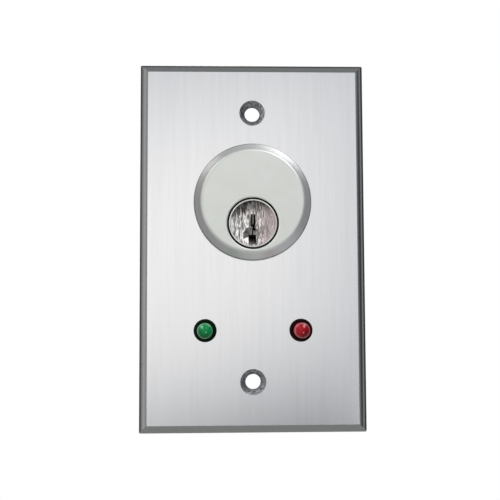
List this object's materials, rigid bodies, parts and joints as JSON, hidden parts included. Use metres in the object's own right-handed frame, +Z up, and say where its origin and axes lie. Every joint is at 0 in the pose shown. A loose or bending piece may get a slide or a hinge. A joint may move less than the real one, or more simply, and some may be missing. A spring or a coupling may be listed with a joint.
{
  "type": "selector key switch",
  "caption": "Wall plate with a mortise key cylinder, two indicator lamps, and a snap switch on a rear bracket that the cylinder's cam works through a roller lever.",
  "frame": {"origin": "midpoint between the two box-screw holes, on the plane of the plate's back face", "axes": "+Z up the long side of the plate, +X to the right seen from the front, +Y into the wall; the plate faces -Y"},
  "size_m": [0.0698, 0.0449, 0.1142],
  "materials": {
    "brushed_aluminium": "vertical brushed grain, machined bevel",
    "satin_zinc": "satin",
    "nickel": "scratched nickel plate",
    "brass": "plain turned",
    "steel": "plain",
    "zinc_plated": "zinc plated",
    "grey_case": "moulded",
    "red_plunger": "moulded",
    "silver_contact": "silver plated",
    "white_nylon": "moulded",
    "black_plastic": "moulded",
    "green_lens": "tinted epoxy",
    "red_lens": "tinted epoxy",
    "tinned_copper": "tinned"
  },
  "bodies": {
    "frame": {"faceplate": "brushed_aluminium", "cylinder_shell": "satin_zinc", "chamber_cover": "brass", "lock_ring": "brass", "common_terminal": "brass", "no_terminal": "brass", "nc_terminal": "brass", "lever_pin": "steel", "pin_spring_1": "steel", "pin_spring_2": "steel", "pin_spring_3": "steel", "pin_spring_4": "steel", "pin_spring_5": "steel", "switch_bracket": "zinc_plated", "switch_screw_1": "zinc_plated", "switch_screw_2": "zinc_plated", "switch_nut_1": "zinc_plated", "switch_nut_2": "zinc_plated", "switch_case": "grey_case", "switch_cover": "grey_case", "green_lamp_holder": "black_plastic", "green_lamp_retainer": "black_plastic", "red_lamp_holder": "black_plastic", "red_lamp_retainer": "black_plastic", "green_lamp": "green_lens", "red_lamp": "red_lens", "green_anode": "tinned_copper", "green_cathode": "tinned_copper", "red_anode": "tinned_copper", "red_cathode": "tinned_copper"},
    "plug": {"cylinder_plug": "nickel", "cam": "zinc_plated", "cam_screw_1": "zinc_plated", "cam_screw_2": "zinc_plated"},
    "lever": {"switch_lever": "steel", "roller_pin": "steel"},
    "roller": {"lever_roller": "white_nylon"},
    "plunger": {"switch_plunger": "red_plunger"},
    "blade": {"contact_blade": "silver_contact"},
    "key_pin_1": {"key_pin_1": "brass"},
    "driver_pin_1": {"driver_pin_1": "nickel"},
    "key_pin_2": {"key_pin_2": "brass"},
    "driver_pin_2": {"driver_pin_2": "nickel"},
    "key_pin_3": {"key_pin_3": "brass"},
    "driver_pin_3": {"driver_pin_3": "nickel"},
    "key_pin_4": {"key_pin_4": "brass"},
    "driver_pin_4": {"driver_pin_4": "nickel"},
    "key_pin_5": {"key_pin_5": "brass"},
    "driver_pin_5": {"driver_pin_5": "nickel"}
  },
  "joints": [
    {"name": "plug_turn", "type": "hinge", "parent": "frame", "child": "plug", "pos_m": [0, 0.01, 0.0068], "axis": [0, 1, 0], "range_deg": [0, 90]},
    {"name": "lever_turn", "type": "hinge", "parent": "frame", "child": "lever", "pos_m": [-0.0156, 0.0277, -0.0131], "axis": [0, 1, 0], "range_deg": [0, 9.2]},
    {"name": "roller_spin", "type": "hinge", "parent": "lever", "child": "roller", "pos_m": [0.0032, 0.0277, -0.0074], "axis": [0, 1, 0], "continuous": true},
    {"name": "plunger_press", "type": "slide", "parent": "frame", "child": "plunger", "axis": [0, 0, 1], "range_m": [-0.00122, 0]},
    {"name": "blade_flip", "type": "hinge", "parent": "frame", "child": "blade", "pos_m": [-0.0098, 0.0277, -0.0185], "axis": [0, 1, 0], "range_deg": [0, 4.6]},
    {"name": "key_pin_1_slide", "type": "slide", "parent": "plug", "child": "key_pin_1", "axis": [0, 0, 1], "range_m": [-0.0016, 0]},
    {"name": "driver_pin_1_slide", "type": "slide", "parent": "frame", "child": "driver_pin_1", "axis": [0, 0, 1], "range_m": [-0.0016, 0], "deforming": ["pin_spring_1"]},
    {"name": "key_pin_2_slide", "type": "slide", "parent": "plug", "child": "key_pin_2", "axis": [0, 0, 1], "range_m": [-0.0024, 0]},
    {"name": "driver_pin_2_slide", "type": "slide", "parent": "frame", "child": "driver_pin_2", "axis": [0, 0, 1], "range_m": [-0.0024, 0], "deforming": ["pin_spring_2"]},
    {"name": "key_pin_3_slide", "type": "slide", "parent": "plug", "child": "key_pin_3", "axis": [0, 0, 1], "range_m": [-0.0008, 0]},
    {"name": "driver_pin_3_slide", "type": "slide", "parent": "frame", "child": "driver_pin_3", "axis": [0, 0, 1], "range_m": [-0.0008, 0], "deforming": ["pin_spring_3"]},
    {"name": "key_pin_4_slide", "type": "slide", "parent": "plug", "child": "key_pin_4", "axis": [0, 0, 1], "range_m": [-0.002, 0]},
    {"name": "driver_pin_4_slide", "type": "slide", "parent": "frame", "child": "driver_pin_4", "axis": [0, 0, 1], "range_m": [-0.002, 0], "deforming": ["pin_spring_4"]},
    {"name": "key_pin_5_slide", "type": "slide", "parent": "plug", "child": "key_pin_5", "axis": [0, 0, 1], "range_m": [-0.0012, 0]},
    {"name": "driver_pin_5_slide", "type": "slide", "parent": "frame", "child": "driver_pin_5", "axis": [0, 0, 1], "range_m": [-0.0012, 0], "deforming": ["pin_spring_5"]}
  ],
  "couplings": [
    {"joint": "lever_turn", "follows": "plug_turn", "ratio": 0.1},
    {"joint": "plunger_press", "follows": "plug_turn", "m_per_rad": -0.00076394},
    {"joint": "blade_flip", "follows": "plug_turn", "ratio": 0.05},
    {"joint": "driver_pin_1_slide", "follows": "key_pin_1_slide", "ratio": 1},
    {"joint": "driver_pin_2_slide", "follows": "key_pin_2_slide", "ratio": 1},
    {"joint": "driver_pin_3_slide", "follows": "key_pin_3_slide", "ratio": 1},
    {"joint": "driver_pin_4_slide", "follows": "key_pin_4_slide", "ratio": 1},
    {"joint": "driver_pin_5_slide", "follows": "key_pin_5_slide", "ratio": 1}
  ]
}
